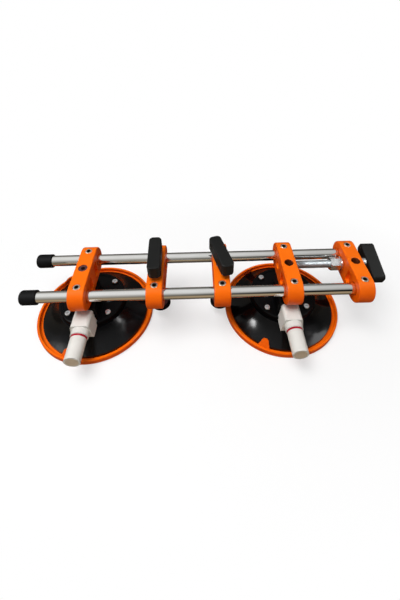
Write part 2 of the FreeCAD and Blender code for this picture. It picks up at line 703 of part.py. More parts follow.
RING_Y = COLLAR_MOUTH_Y - RED_RING_GAP - RED_RING_WIDTH
SEAL_Y = PLUNGER_INNER_Y - SEAL_FROM_END - SEAL_WIDTH


def plunger(cup_x):
    """Hollow tapered barrel, open at its inner end, with two grooves."""
    length = PLUNGER_INNER_Y - PLUNGER_TIP_Y
    base = V(cup_x, PLUNGER_TIP_Y, PUMP_AXIS_Z)
    barrel = cone(PLUNGER_TIP_R, PLUNGER_R, length, base, Y_AXIS)
    tools = [rod(PLUNGER_HOLLOW_R, length, base, Y_AXIS)]
    ring_r = plunger_taper_r(RING_Y)
    outside = PLUNGER_R + CUT_SPARE
    tools.append(ring_along_y(cup_x, outside, ring_r - RED_RING_DEPTH, RING_Y, RED_RING_WIDTH))
    tools.append(ring_along_y(cup_x, outside, PLUNGER_R - SEAL_DEPTH, SEAL_Y, SEAL_WIDTH))
    return cut(barrel, tools)


def red_ring(cup_x):
    ring_r = plunger_taper_r(RING_Y)
    return ring_along_y(cup_x, ring_r, ring_r - RED_RING_DEPTH, RING_Y, RED_RING_WIDTH)


def piston_seal(cup_x):
    return ring_along_y(cup_x, PLUNGER_R, PLUNGER_R - SEAL_DEPTH, SEAL_Y, SEAL_WIDTH)


def plunger_plug(cup_x):
    base = V(cup_x, PLUNGER_TIP_Y, PUMP_AXIS_Z)
    return rod(PLUNGER_HOLLOW_R, PLUNGER_PLUG, base, Y_AXIS)


def plunger_spring(cup_x):
    inner = PLUNGER_TIP_Y + PLUNGER_PLUG + PUMP_SPRING_WIRE_R + SEAT_GAP
    outer = BORE_END_Y - PUMP_SPRING_WIRE_R - SEAT_GAP
    spring = coil(PUMP_SPRING_R, PUMP_SPRING_WIRE_R, outer - inner, PUMP_SPRING_TURNS)
    spring.rotate(V(0, 0, 0), X_AXIS, -90)
    spring.translate(V(cup_x, inner, PUMP_AXIS_Z))
    return spring


# ---------------------------------------------------------------- levelling screws
def level_screw(bar_x):
    """Screw with a headed neck that turns in the foot socket."""
    neck_low = FOOT_BOTTOM_Z + FOOT_PAD_THICK + SOCKET_SKIRT + MOVING_GAP
    shoulder = FOOT_BOTTOM_Z + FOOT_PAD_THICK + SOCKET_HEIGHT + MOVING_GAP
    shaft = rod(LEVEL_SCREW_R, SCREW_TOP_Z - shoulder, V(bar_x, 0, shoulder))
    neck = rod(NECK_R, shoulder - neck_low, V(bar_x, 0, neck_low))
    head = rod(NECK_HEAD_R, NECK_HEAD, V(bar_x, 0, neck_low))
    return fuse([shaft, neck, head])


def foot_socket(bar_x):
    """Steel cup swaged over the screw's headed neck."""
    low = FOOT_BOTTOM_Z + FOOT_PAD_THICK
    head_low = low + SOCKET_SKIRT
    head_room = NECK_HEAD + 2 * MOVING_GAP
    body = turned(
        [
            (0, low),
            (SOCKET_SKIRT_R, low),
            (SOCKET_SKIRT_R, low + SOCKET_SKIRT),
            (SOCKET_R, low + SOCKET_SKIRT + SOCKET_EDGE),
            (SOCKET_R, low + SOCKET_HEIGHT - SOCKET_EDGE),
            (SOCKET_R - SOCKET_EDGE, low + SOCKET_HEIGHT),
            (0, low + SOCKET_HEIGHT),
        ],
        bar_x,
    )
    tools = [
        rod(NECK_HEAD_R + MOVING_GAP, head_room, V(bar_x, 0, head_low)),
        rod(NECK_R + RUNNING_GAP, SOCKET_HEIGHT, V(bar_x, 0, head_low)),
    ]
    return cut(body, tools)


def foot_pad(bar_x):
    pad = rod(FOOT_R, FOOT_PAD_THICK, V(bar_x, 0, FOOT_BOTTOM_Z))
    ends = [FOOT_BOTTOM_Z, FOOT_BOTTOM_Z + FOOT_PAD_THICK]
    return round_face_edges(pad, FOOT_PAD_EDGE, Z_AXIS, ends)


def grip_bar(centre, long_axis, up):
    """Moulded T-handle; centre is the middle of the face towards the screw."""
    cross = up.cross(long_axis)
    half_length = long_axis * (HANDLE_LENGTH / 2)
    half_width = cross * (HANDLE_WIDTH / 2)
    corners = [
        centre + half_length + half_width,
        centre - half_length + half_width,
        centre - half_length - half_width,
        centre + half_length - half_width,
    ]
    body = prism(corners, up * HANDLE_HEIGHT)
    upright = [e for e in body.Edges if abs((e.Vertexes[0].Point - e.Vertexes[1].Point).dot(up)) > SAME]
    body = body.makeFillet(HANDLE_CORNER_R, upright)
    base_level = centre.dot(up)
    return round_face_edges(body, HANDLE_EDGE_R, up, [base_level, base_level + HANDLE_HEIGHT])


def level_handle(bar_x, turn):
    a = math.radians(turn)
    long_axis = V(-math.sin(a), math.cos(a), 0)
    base = V(bar_x, 0, BAR_TOP_Z + HANDLE_GAP)
    body = grip_bar(base, long_axis, Z_AXIS)
    return cut(body, [rod(LEVEL_SCREW_R, HANDLE_HEIGHT - HANDLE_ROOF, base)])


# ---------------------------------------------------------------- tension screw
TENSION_START = SLIDING_BAR_X + BAR_WIDTH / 2 - TENSION_BURIED
INNER_WASHER_X = END_BAR_INNER_X - MOVING_GAP - INNER_WASHER
NUT_X = INNER_WASHER_X - NUT_LENGTH
OUTER_WASHER_X = END_BAR_OUTER_X + MOVING_GAP
SLEEVE_X = OUTER_WASHER_X + OUTER_WASHER
TENSION_HANDLE_X = SLEEVE_X + SLEEVE
TENSION_END = TENSION_HANDLE_X + HANDLE_HEIGHT - HANDLE_ROOF


def on_tension_axis(x):
    return V(x, TENSION_Y, ROD_AXIS_Z)


def collar_on_tension_screw(x, radius, length, edge):
    body = rod(radius, length, on_tension_axis(x), X_AXIS)
    body = body.makeChamfer(edge, [e for e in body.Edges if len(e.Vertexes) == 1])
    return cut(body, [rod(TENSION_R, length, on_tension_axis(x), X_AXIS)])


def tension_screw():
    length = TENSION_END - TENSION_START - TENSION_CHAMFER
    shaft = rod(TENSION_R, length, on_tension_axis(TENSION_START + TENSION_CHAMFER), X_AXIS)
    tip_r = TENSION_R - TENSION_CHAMFER
    point = cone(tip_r, TENSION_R, TENSION_CHAMFER, on_tension_axis(TENSION_START), X_AXIS)
    return fuse([shaft, point])


def tension_nut():
    body = hexagon(NUT_FLATS, NUT_LENGTH, on_tension_axis(NUT_X), X_AXIS)
    corner_r = NUT_FLATS / math.sqrt(3)
    trim = corner_r - NUT_FLATS / 2
    dome = rod(corner_r + RUNNING_GAP, NUT_LENGTH, on_tension_axis(NUT_X), X_AXIS)
    dome = dome.makeChamfer(trim, [e for e in dome.Edges if len(e.Vertexes) == 1])
    return cut(body.common(dome), [rod(TENSION_R, NUT_LENGTH, on_tension_axis(NUT_X), X_AXIS)])


def tension_handle():
    a = math.radians(TENSION_HANDLE_TURN)
    long_axis = V(0, math.cos(a), math.sin(a))
    base = on_tension_axis(TENSION_HANDLE_X)
    body = grip_bar(base, long_axis, X_AXIS)
    return cut(body, [rod(TENSION_R, HANDLE_HEIGHT - HANDLE_ROOF, base, X_AXIS)])


# ---------------------------------------------------------------- cup with its pump
def cup_stud(cup_x, recess):
    """Threaded stud that ties the cup, its pump and the bar together."""
    low = PAD_TOP_Z + SEAT_GAP
    top = BAR_TOP_Z - recess
    body = rod(STUD_R, top - low, V(cup_x, 0, low))
    key = hexagon(STUD_KEY, STUD_KEY_DEPTH, V(cup_x, 0, top - STUD_KEY_DEPTH), Z_AXIS)
    return cut(body, [key])


def release_button(cup_x):
    """Hollow domed button that lets air back under the pad."""
    tip_y = NECK_POST_R + BUTTON_PROUD
    base = V(cup_x, tip_y - BUTTON_LENGTH, BUTTON_Z)
    body = rod(BUTTON_R, BUTTON_LENGTH, base, Y_AXIS)
    body = round_face_edges(body, BUTTON_DOME, Y_AXIS, [tip_y])
    return cut(body, [rod(BUTTON_R - BUTTON_WALL, BUTTON_LENGTH - BUTTON_ROOF, base, Y_AXIS)])


def button_spring(cup_x):
    inner = BUTTON_SEAT_Y + BUTTON_SPRING_WIRE_R + SEAT_GAP / 2
    roof_y = NECK_POST_R + BUTTON_PROUD - BUTTON_ROOF
    outer = roof_y - BUTTON_SPRING_WIRE_R - SEAT_GAP / 2
    spring = coil(BUTTON_SPRING_R, BUTTON_SPRING_WIRE_R, outer - inner, BUTTON_SPRING_TURNS)
    spring.rotate(V(0, 0, 0), X_AXIS, -90)
    spring.translate(V(cup_x, inner, BUTTON_Z))
    return spring


def save_cup(name, cup_x, tab_angle, stud_recess):
    save(protective_cover(cup_x, tab_angle), name + "_protective_cover")
    save(rubber_pad(cup_x), name + "_rubber_pad")
    save(insert_ring(cup_x), name + "_pad_insert_ring")
    save(hub_plate(cup_x), name + "_hub_plate")
    save(hub_screws(cup_x), name + "_hub_screws")
    save(pump_housing(cup_x), name + "_pump_housing")
    save(check_valve(cup_x), name + "_check_valve")
    save(plunger(cup_x), name + "_plunger")
    save(red_ring(cup_x), name + "_red_ring")
    save(piston_seal(cup_x), name + "_piston_seal")
    save(plunger_plug(cup_x), name + "_plunger_plug")
    save(plunger_spring(cup_x), name + "_plunger_spring")
    save(release_button(cup_x), name + "_release_button")
    save(button_spring(cup_x), name + "_release_spring")
    save(cup_stud(cup_x, stud_recess), name + "_stud")


def save_leveller(number, bar_x, turn):
    save(cross_bar(bar_x, RUNNING_GAP, False), "level_bar_%d" % number)
    save(set_screws(bar_x), "level_bar_%d_set_screws" % number)
    save(level_screw(bar_x), "level_screw_%d" % number)
    save(level_handle(bar_x, turn), "level_handle_%d" % number)
    save(foot_socket(bar_x), "level_foot_socket_%d" % number)
    save(foot_pad(bar_x), "level_foot_pad_%d" % number)


# ---------------------------------------------------------------- the whole tool
save(guide_rod(-ROD_Y), "front_rod")
save(guide_rod(ROD_Y), "rear_rod")
save(rod_cap(-ROD_Y), "front_rod_cap")
save(rod_cap(ROD_Y), "rear_rod_cap")
save(cross_bar(0.0, 0.0, False), "fixed_cup_bar")
save(set_screws(0.0), "fixed_cup_bar_set_screws")
save(cross_bar(END_BAR_X, 0.0, True), "end_bar")
save(set_screws(END_BAR_X), "end_bar_set_screws")
save(cross_bar(SLIDING_BAR_X, RUNNING_GAP, True), "sliding_cup_bar")
save(set_screws(SLIDING_BAR_X), "sliding_cup_bar_set_screws")
save_cup("fixed_cup", 0.0, FIXED_TAB_ANGLE, FIXED_STUD_RECESS)
save_cup("sliding_cup", SLIDING_BAR_X, SLIDING_TAB_ANGLE, SLIDING_STUD_RECESS)
save_leveller(1, LEVEL_BAR_1_X, HANDLE_1_TURN)
save_leveller(2, LEVEL_BAR_2_X, HANDLE_2_TURN)
save(tension_screw(), "tension_screw")
save(tension_nut(), "tension_nut")
save(tension_handle(), "tension_handle")
for name, x, radius, length, edge in (
    ("inner_thrust_washer", INNER_WASHER_X, INNER_WASHER_R, INNER_WASHER, WASHER_CHAMFER),
    ("outer_thrust_washer", OUTER_WASHER_X, OUTER_WASHER_R, OUTER_WASHER, WASHER_CHAMFER),
    ("handle_spacer_sleeve", SLEEVE_X, SLEEVE_R, SLEEVE, SLEEVE_CHAMFER),
):
    save(collar_on_tension_screw(x, radius, length, edge), name)
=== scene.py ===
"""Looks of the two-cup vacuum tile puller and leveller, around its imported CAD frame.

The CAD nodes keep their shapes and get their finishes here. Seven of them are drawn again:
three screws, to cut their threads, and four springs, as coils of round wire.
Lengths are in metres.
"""
import json
import math

import bmesh
import bpy
from mathutils import Matrix, Vector


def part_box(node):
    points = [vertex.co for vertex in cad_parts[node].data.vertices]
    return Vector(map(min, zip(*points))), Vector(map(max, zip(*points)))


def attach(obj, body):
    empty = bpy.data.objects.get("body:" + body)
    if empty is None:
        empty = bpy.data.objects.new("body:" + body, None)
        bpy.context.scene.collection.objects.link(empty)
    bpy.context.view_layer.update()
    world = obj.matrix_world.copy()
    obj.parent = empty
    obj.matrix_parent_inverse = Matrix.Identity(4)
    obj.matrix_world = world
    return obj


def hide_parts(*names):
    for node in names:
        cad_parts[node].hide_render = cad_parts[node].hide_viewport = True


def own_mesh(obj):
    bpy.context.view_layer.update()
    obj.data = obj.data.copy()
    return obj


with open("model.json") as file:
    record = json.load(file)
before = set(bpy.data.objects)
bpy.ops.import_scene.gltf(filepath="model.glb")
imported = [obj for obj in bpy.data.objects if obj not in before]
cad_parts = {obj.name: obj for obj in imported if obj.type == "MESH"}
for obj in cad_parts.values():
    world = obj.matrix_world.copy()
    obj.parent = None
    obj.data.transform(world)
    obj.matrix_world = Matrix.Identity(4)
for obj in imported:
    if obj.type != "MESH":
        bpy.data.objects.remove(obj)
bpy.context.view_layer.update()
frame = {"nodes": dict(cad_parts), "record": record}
nodes = frame["nodes"]
scene = bpy.context.scene

# ------------------------------------------------------------------ places on the part
BAR_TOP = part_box("fixed_cup_bar")[1][2]
ROD_Y = 0.034
BAR_PLACES = {
    "fixed_cup_bar": 0.0,
    "level_bar_1": 0.1025,
    "level_bar_2": 0.1935,
    "sliding_cup_bar": 0.2905,
    "end_bar": 0.3865,
}
# Inside the centre hole and the set-screw holes, below their tops, bare metal is painted dark as shade.
CENTRE_HOLE_R = 0.0061
CENTRE_HOLE_TOP = BAR_TOP - 0.0008  # bare metal below this height
SET_HOLE_R = 0.0051
SET_HOLE_TOP = BAR_TOP - 0.0030
HEX_SOCKET_R = 0.00295
HEX_SOCKET_EDGE = 0.00315
THREAD_PITCH = 0.00175
PART_MIDDLE = (0.17, 0.0, 0.05)


# ------------------------------------------------------------------ node helpers
class Nodes:
    """A node tree, with short calls that add nodes and link them."""

    def __init__(self, owner, coordinates, output):
        owner.use_nodes = True
        self.tree = owner.node_tree
        self.output = self.tree.nodes[output]
        self.coords = self.add("ShaderNodeTexCoord")
        self.place = self.coords.outputs[coordinates]

    def add(self, kind, **settings):
        """A new node with its sockets or properties set by name."""
        node = self.tree.nodes.new(kind)
        for key, value in settings.items():
            if key in node.inputs:
                node.inputs[key].default_value = value
            else:
                setattr(node, key, value)
        return node

    def link(self, output, target):
        self.tree.links.new(output, target)

    def feed(self, socket, value):
        """Sets a socket to a number or a colour, or links it to another node's output."""
        if isinstance(value, tuple):
            socket.default_value = (*value, 1.0)
        elif isinstance(value, float):
            socket.default_value = value
        else:
            self.link(value, socket)

    def noise(self, scale, detail, rough=0.5, stretch=None):
        """Soft noise from 0 to 1, stretched along the axes where three scales are given."""
        node = self.add("ShaderNodeTexNoise", Scale=scale, Detail=detail, Roughness=rough)
        place = self.place
        if stretch:
            mapping = self.add("ShaderNodeMapping", Scale=stretch)
            self.link(place, mapping.inputs["Vector"])
            place = mapping.outputs["Vector"]
        self.link(place, node.inputs["Vector"])
        return node.outputs["Fac"]

    def ramp(self, value, stops):
        """A colour from a value, by stops of a place and a colour each."""
        node = self.add("ShaderNodeValToRGB")
        band = node.color_ramp
        while len(band.elements) < len(stops):
            band.elements.new(0.5)
        for element, (place, colour) in zip(band.elements, stops):
            element.position = place
            element.color = (*colour, 1.0)
        self.link(value, node.inputs["Fac"])
        return node.outputs["Color"]

    def span(self, value, low, high, from_low=0.0, from_high=1.0):
        """A value that goes from low to high while the given one crosses its own range."""
        node = self.add("ShaderNodeMapRange")
        node.inputs["From Min"].default_value = from_low
        node.inputs["From Max"].default_value = from_high
        node.inputs["To Min"].default_value = low
        node.inputs["To Max"].default_value = high
        self.link(value, node.inputs["Value"])
        return node.outputs["Result"]

    def mix(self, factor, first, second):
        """The first colour where the factor is 0, the second where it is 1."""
        node = self.add("ShaderNodeMix", data_type="RGBA")
        self.link(factor, node.inputs[0])
        self.feed(node.inputs[6], first)
        self.feed(node.inputs[7], second)
        return node.outputs[2]

    def blend(self, factor, first, second):
        """The first shader where the factor is 0, the second where it is 1."""
        node = self.add("ShaderNodeMixShader")
        for socket, output in zip(node.inputs, (factor, first, second)):
            self.link(output, socket)
        return node.outputs[0]

    def maths(self, operation, first, second=0.0):
        node = self.add("ShaderNodeMath", operation=operation)
        self.feed(node.inputs[0], first)
        self.feed(node.inputs[1], second)
        return node.outputs["Value"]

    def product(self, first, *others):
        for other in others:
            first = self.maths("MULTIPLY", first, other)
        return first

    def length(self, across, along):
        """Length of a flat vector from its two legs."""
        squares = (self.maths("MULTIPLY", leg, leg) for leg in (across, along))
        return self.maths("SQRT", self.maths("ADD", *squares))

    def axes(self, vector=None):
        """X, Y and Z of the place, or of another vector."""
        node = self.add("ShaderNodeSeparateXYZ")
        self.link(self.place if vector is None else vector, node.inputs["Vector"])
        return node.outputs["X"], node.outputs["Y"], node.outputs["Z"]

    def rays(self):
        """1 for rays from the camera, and 1 for rays in gloss or through something clear."""
        path = self.add("ShaderNodeLightPath")
        gloss = self.maths("MAXIMUM", path.outputs["Is Glossy Ray"], path.outputs["Is Transmission Ray"])
        return path.outputs["Is Camera Ray"], gloss

    def surface(self, shader):
        self.link(shader, self.output.inputs["Surface"])


class Material(Nodes):
    """A material in its object's own coordinates."""

    def __init__(self, name):
        self.material = bpy.data.materials.new(name)
        super().__init__(self.material, "Object", "Material Output")
        self.shader = self.tree.nodes["Principled BSDF"]

    def set(self, **values):
        """Sets the shader's own sockets; an underscore in a name stands for a space."""
        for key, value in values.items():
            self.shader.inputs[key.replace("_", " ")].default_value = value

    def colour(self, output):
        self.link(output, self.shader.inputs["Base Color"])

    def roughness(self, output):
        self.link(output, self.shader.inputs["Roughness"])

    def normal(self, output):
        self.link(output, self.shader.inputs["Normal"])

    def bump(self, height, strength, distance, after=None):
        node = self.add("ShaderNodeBump", Strength=strength, Distance=distance)
        self.link(height, node.inputs["Height"])
        if after:
            self.link(after, node.inputs["Normal"])
        return node.outputs["Normal"]

    def painted_top_light(self, value, deep, pale):
        """Deep colours on upright faces, pale ones on faces that look straight up: painted light from
        above.
        """
        _, _, up = self.axes(self.coords.outputs["Normal"])
        upward = self.span(up, 0.0, 1.0, 0.2, 0.95)
        return self.mix(upward, self.ramp(value, deep), self.ramp(value, pale))

    def hole_mask(self, x_place, y_place, radius, top):
        """1 inside an upright hole, below the given height."""
        edge, fade = 0.0003, 0.0005
        x, y, z = self.axes()
        reach = self.length(self.maths("SUBTRACT", x, x_place), self.maths("SUBTRACT", y, y_place))
        inside = self.span(reach, 1.0, 0.0, radius, radius + edge)
        deep = self.span(z, 1.0, 0.0, top, top + fade)
        return self.product(inside, deep)

    def glow(self, colour):
        """Makes the surface shine in a colour by itself."""
        lamp = self.add("ShaderNodeEmission", Strength=1.0)
        self.link(colour, lamp.inputs["Color"])
        self.surface(lamp.outputs[0])


# ------------------------------------------------------------------ finishes
def mottled(name, spots, tones, rough, rough_spots=None, rough_from=(0.0, 1.0), grain=None, **uniform):
    """A finish whose colour and gloss come and go in soft spots, over a fine grain.

    spots: scale, detail and roughness of the noise that the tones, a colour ramp's stops, read.
    rough: lowest and highest roughness, where the noise crosses rough_from; it reads the
    same spots, or rough_spots.
    grain: scale and detail of the noise that is bumped, its strength and its depth.
    uniform: the shader's own sockets.
    """
    m = Material(name)
    noise = m.noise(*spots)
    m.colour(m.ramp(noise, tones))
    m.roughness(m.span(m.noise(*rough_spots) if rough_spots else noise, *rough, *rough_from))
    if grain:
        scale, detail, strength, depth = grain
        m.normal(m.bump(m.noise(scale, detail), strength, depth))
    m.set(**uniform)
    return m.material


def chrome(name):
    """Chromed tube with a faint tarnish that comes and goes along it."""
    m = Material(name)
    m.set(Metallic=1.0)
    tarnish = m.noise(18.0, 4.0, stretch=(1.0, 3.0, 3.0))
    m.colour(m.ramp(tarnish, [(0.35, (0.90, 0.90, 0.89)), (0.75, (0.80, 0.79, 0.76))]))
    haze = m.noise(30.0, 3.0, stretch=(0.4, 3.0, 3.0))
    m.roughness(m.span(haze, 0.05, 0.11, 0.35, 0.75))
    return m.material


def orange_paint(name, bar_x):
    """Gloss powder coat, painted paler where it faces up as light from above; the holes are bare
    threads, painted dark as shade.
    """
    m = Material(name)
    patches = m.noise(28.0, 4.0)
    paint = m.painted_top_light(
        patches,
        [(0.3, (0.84, 0.104, 0.0016)), (0.7, (0.90, 0.122, 0.0024))],
        [(0.3, (0.88, 0.140, 0.0022)), (0.7, (0.93, 0.168, 0.0036))],
    )
    bare = m.hole_mask(bar_x, 0.0, CENTRE_HOLE_R, CENTRE_HOLE_TOP)
    for hole_y in (-ROD_Y, ROD_Y):
        bare = m.maths("MAXIMUM", bare, m.hole_mask(bar_x, hole_y, SET_HOLE_R, SET_HOLE_TOP))
    # The holes' bare metal is painted dark reddish brown as shade.
    shaded_bare_metal = (0.130, 0.030, 0.010)
    m.colour(m.mix(bare, paint, shaded_bare_metal))
    m.roughness(m.span(m.noise(60.0, 3.0), 0.28, 0.40))
    peel = m.bump(m.noise(420.0, 2.0), 0.10, 0.00025)
    _, _, height = m.axes()
    turns = m.maths("SINE", m.product(height, math.tau / THREAD_PITCH))
    m.normal(m.bump(m.product(turns, bare), 0.6, 0.0004, peel))
    m.set(Specular_IOR_Level=0.11)
    return m.material


def orange_cover(name):
    """Tough moulded plastic, painted paler where it faces up as light from above."""
    m = Material(name)
    m.colour(m.painted_top_light(
        m.noise(14.0, 3.0),
        [(0.3, (0.84, 0.094, 0.0014)), (0.75, (0.90, 0.116, 0.0022))],
        [(0.3, (0.93, 0.140, 0.0020)), (0.75, (0.97, 0.166, 0.0030))],
    ))
    m.roughness(m.span(m.noise(60.0, 4.0), 0.30, 0.42))
    m.normal(m.bump(m.noise(260.0, 2.0), 0.05, 0.0002))
    m.set(Specular_IOR_Level=0.11)
    return m.material


def socket_steel(name, bar_x):
    """Set-screw steel, painted black as shade down in the hex sockets of a bar's two screws."""
    m = Material(name)
    x, y, _ = m.axes()
    from_rod = m.maths("SUBTRACT", m.maths("ABSOLUTE", y), ROD_Y)
    reach = m.length(m.maths("SUBTRACT", x, bar_x), from_rod)
    # Inside the hex sockets the steel is painted black as shade.
    socket_shade = m.span(reach, 1.0, 0.0, HEX_SOCKET_R, HEX_SOCKET_EDGE)
    outside_socket = m.span(reach, 0.0, 1.0, HEX_SOCKET_R, HEX_SOCKET_EDGE)
    stain = m.ramp(m.noise(220.0, 3.0), [(0.3, (0.44, 0.38, 0.31)), (0.7, (0.58, 0.51, 0.43))])
    shade_black = (0.006, 0.006, 0.007)
    m.colour(m.mix(socket_shade, stain, shade_black))
    m.link(outside_socket, m.shader.inputs["Metallic"])
    m.roughness(m.span(socket_shade, 0.50, 0.7))
    return m.material


def black_rubber(name, rough, grain_scale):
    """Dull black rubber under a little dust: rod caps, feet, seals and valves."""
    return mottled(
        name,
        spots=(40.0, 6.0, 0.7),
        tones=[(0.45, (0.0040, 0.0040, 0.0044)), (0.85, (0.010, 0.010, 0.011))],
        rough=rough,
        rough_from=(0.3, 0.8),
        grain=(grain_scale, 3.0, 0.10, 0.0002),
        Specular_IOR_Level=0.07,
    )


def pad_rubber(name):
    """Polished black rubber with a thin bloom of dust."""
    return mottled(
        name,
        spots=(22.0, 6.0, 0.65),
        tones=[(0.4, (0.0016, 0.0016, 0.0019)), (0.85, (0.0055, 0.0058, 0.0068))],
        rough=(0.13, 0.26),
        rough_from=(0.35, 0.8),
        grain=(120.0, 3.0, 0.05, 0.0003),
        Specular_IOR_Level=0.20,
    )


def hub_plastic(name):
    """Satin black moulding under a film of dust."""
    return mottled(
        name,
        spots=(30.0, 6.0, 0.65),
        tones=[(0.4, (0.0014, 0.0014, 0.0017)), (0.85, (0.0040, 0.0041, 0.0048))],
        rough=(0.34, 0.48),
        rough_from=(0.35, 0.8),
        grain=(400.0, 3.0, 0.08, 0.0002),
        Specular_IOR_Level=0.10,
    )


def bright_steel(name):
    """Bright plated steel, lightly stained."""
    return mottled(
        name,
        spots=(60.0, 4.0),
        tones=[(0.3, (0.64, 0.65, 0.66)), (0.7, (0.80, 0.81, 0.83))],
        rough=(0.18, 0.30),
        rough_spots=(120.0, 3.0),
        Metallic=1.0,
    )


def rolled_steel(name):
    """Zinc-plated rolled thread under patches of grease."""
    return mottled(
        name,
        spots=(140.0, 4.0),
        tones=[(0.35, (0.40, 0.44, 0.46)), (0.75, (0.55, 0.60, 0.63))],
        rough=(0.42, 0.56),
        Metallic=1.0,
    )


def dark_steel(name):
    """Dark, reddish browned steel of the studs and the foot sockets."""
    return mottled(
        name,
        spots=(80.0, 4.0),
        tones=[(0.3, (0.090, 0.034, 0.036)), (0.7, (0.150, 0.062, 0.062))],
        rough=(0.38, 0.55),
        rough_spots=(200.0, 3.0),
        grain=(300.0, 2.0, 0.06, 0.0002),
        Metallic=0.6,
    )


def white_plastic(name):
    """Satin white moulding of the pump housings and plungers."""
    return mottled(
        name,
        spots=(35.0, 4.0),
        tones=[(0.3, (0.665, 0.650, 0.61)), (0.75, (0.745, 0.730, 0.69))],
        rough=(0.34, 0.48),
        rough_spots=(120.0, 3.0),
        grain=(300.0, 2.0, 0.04, 0.0002),
        Specular_IOR_Level=0.25,
    )


def grey_plastic(name):
    """Grey-beige plug in a plunger's end."""
    return mottled(
        name,
        spots=(90.0, 5.0),
        tones=[(0.3, (0.58, 0.46, 0.34)), (0.75, (0.70, 0.57, 0.43))],
        rough=(0.45, 0.6),
        grain=(300.0, 2.0, 0.08, 0.0002),
        Specular_IOR_Level=0.3,
    )


def red_plastic(name):
    """Crimson plastic of the plungers' rings and the release buttons."""
    return mottled(
        name,
        spots=(80.0, 4.0),
        tones=[(0.3, (0.33, 0.0016, 0.016)), (0.75, (0.42, 0.003, 0.024))],
        rough=(0.34, 0.45),
        grain=(260.0, 2.0, 0.04, 0.0002),
        Specular_IOR_Level=0.25,
    )


def handle_plastic(name):
    """Black nylon moulding with a fine spark-eroded grain."""
    return mottled(
        name,
        spots=(30.0, 5.0),
        tones=[(0.3, (0.0050, 0.0052, 0.0050)), (0.8, (0.0090, 0.0094, 0.0090))],
        rough=(0.42, 0.58),
        rough_spots=(90.0, 4.0),
        grain=(700.0, 2.0, 0.20, 0.0003),
        Specular_IOR_Level=0.20,
    )


FINISHES = {
    "chrome_rod": chrome("chrome_rod"),
    "black_rubber": black_rubber("black_rubber", (0.52, 0.72), 600.0),
    "bright_steel": bright_steel("bright_steel"),
    "dark_steel": dark_steel("dark_steel"),
    "pad_rubber": pad_rubber("pad_rubber"),
    "hub_plastic": hub_plastic("hub_plastic"),
    "cover_plastic": orange_cover("cover_plastic"),
    "white_plastic": white_plastic("white_plastic"),
    "grey_plastic": grey_plastic("grey_plastic"),
    "red_plastic": red_plastic("red_plastic"),
    "handle_plastic": handle_plastic("handle_plastic"),
    "valve_rubber": black_rubber("valve_rubber", (0.4, 0.6), 500.0),
    "spring_steel": bright_steel("spring_steel"),
    "button_plastic": red_plastic("button_plastic"),
}


def finish_cad_nodes():
    """Gives every CAD node the finish of its slot; a bar's or its screws' knows where the bar is."""
    slots = {part["node"]: part["material_slot"] for part in frame["record"]["subparts"]}
    for name, obj in nodes.items():
        bar = name.removesuffix("_set_screws")
        if name in BAR_PLACES:
            finish = orange_paint("orange_paint_" + name, BAR_PLACES[name])
        elif bar in BAR_PLACES:
            finish = socket_steel("socket_steel_" + bar, BAR_PLACES[bar])
        else:
            finish = FINISHES[slots[name]]
        obj.data.materials.clear()
        obj.data.materials.append(finish)


# ------------------------------------------------------------------ meshes from rows of points
def tube_mesh(name, rows):
    """Closed mesh: a smooth wall from each row of points to the next, and a flat cap at each end."""
    mesh = bpy.data.meshes.new(name)
    built = bmesh.new()
    rows = [[built.verts.new(point) for point in row] for row in rows]
    for one, other in zip(rows, rows[1:]):
        for side in range(len(one)):
            after = (side + 1) % len(one)
            built.faces.new((one[side], one[after], other[after], other[side]))
    for row in (rows[0][::-1], rows[-1]):
        built.faces.new(row)
    bmesh.ops.recalc_face_normals(built, faces=built.faces)
    for face in built.faces:
        face.smooth = len(face.verts) == 4
    built.to_mesh(mesh)
    built.free()
    return mesh


def middle(low, high):
    """The middle of a box, from its two corners."""
    return [(a + b) / 2 for a, b in zip(low, high)]


# ------------------------------------------------------------------ rolled screw threads
THREAD_DEPTH = 0.00070
ROUNDED_SHARE = 0.65  # the rest of the flank is straight
RINGS_PER_TURN = 8
POINTS_AROUND = 48
CREST_SHY = 0.00002  # the crests stay this far inside the CAD box
RUN_OUT = 0.002  # the thread grows shallow over this length at its ends
DEPTH_AT_ENDS = 0.3
SHOULDER = 0.00001  # the length of a step in radius


def thread_radius(crest, along, turn):
    """Radius of a rolled thread with rounded crests and roots, at a height and a share of a turn."""
    phase = (along / THREAD_PITCH - turn) % 1.0
    climb = abs(2.0 * phase - 1.0)
    rounded = 0.5 - 0.5 * math.cos(math.pi * climb)
    return crest - THREAD_DEPTH * (ROUNDED_SHARE * rounded + (1.0 - ROUNDED_SHARE) * climb)


def plain_ring(height, radius):
    return height, [radius] * POINTS_AROUND


def threaded_rings(crest, low, high):
    """Rings of a threaded length, each a height and its radii; the thread grows shallow at both ends."""
    count = round((high - low) / THREAD_PITCH * RINGS_PER_TURN)
    rings = []
    for k in range(count + 1):
        along = low + (high - low) * k / count
        fade = min(1.0, (along - low) / RUN_OUT, (high - along) / RUN_OUT)
        radii = []
        for step in range(POINTS_AROUND):
            cut = crest - thread_radius(crest, along, step / POINTS_AROUND)
            radii.append(crest - cut * (DEPTH_AT_ENDS + (1.0 - DEPTH_AT_ENDS) * fade))
        rings.append((along, radii))
    return rings


def lathe_rows(rings):
    """Rows of points about local Z, one for each ring."""
    rows = []
    for height, radii in rings:
        row = []
        for step, radius in enumerate(radii):
            angle = math.tau * step / POINTS_AROUND
            row.append((radius * math.cos(angle), radius * math.sin(angle), height))
        rows.append(row)
    return rows


def add_screw(node, body, rings, place, turn):
    """A screw turned from its rings about local Z, set in its place instead of its CAD node."""
    mesh = tube_mesh(node + "_threaded", lathe_rows(rings))
    mesh.transform(Matrix.Translation(Vector(place)) @ turn)
    mesh.materials.append(rolled_steel(node + "_steel"))
    piece = bpy.data.objects.new(node + "_threaded", mesh)
    scene.collection.objects.link(piece)
    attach(piece, body)
    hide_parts(node)


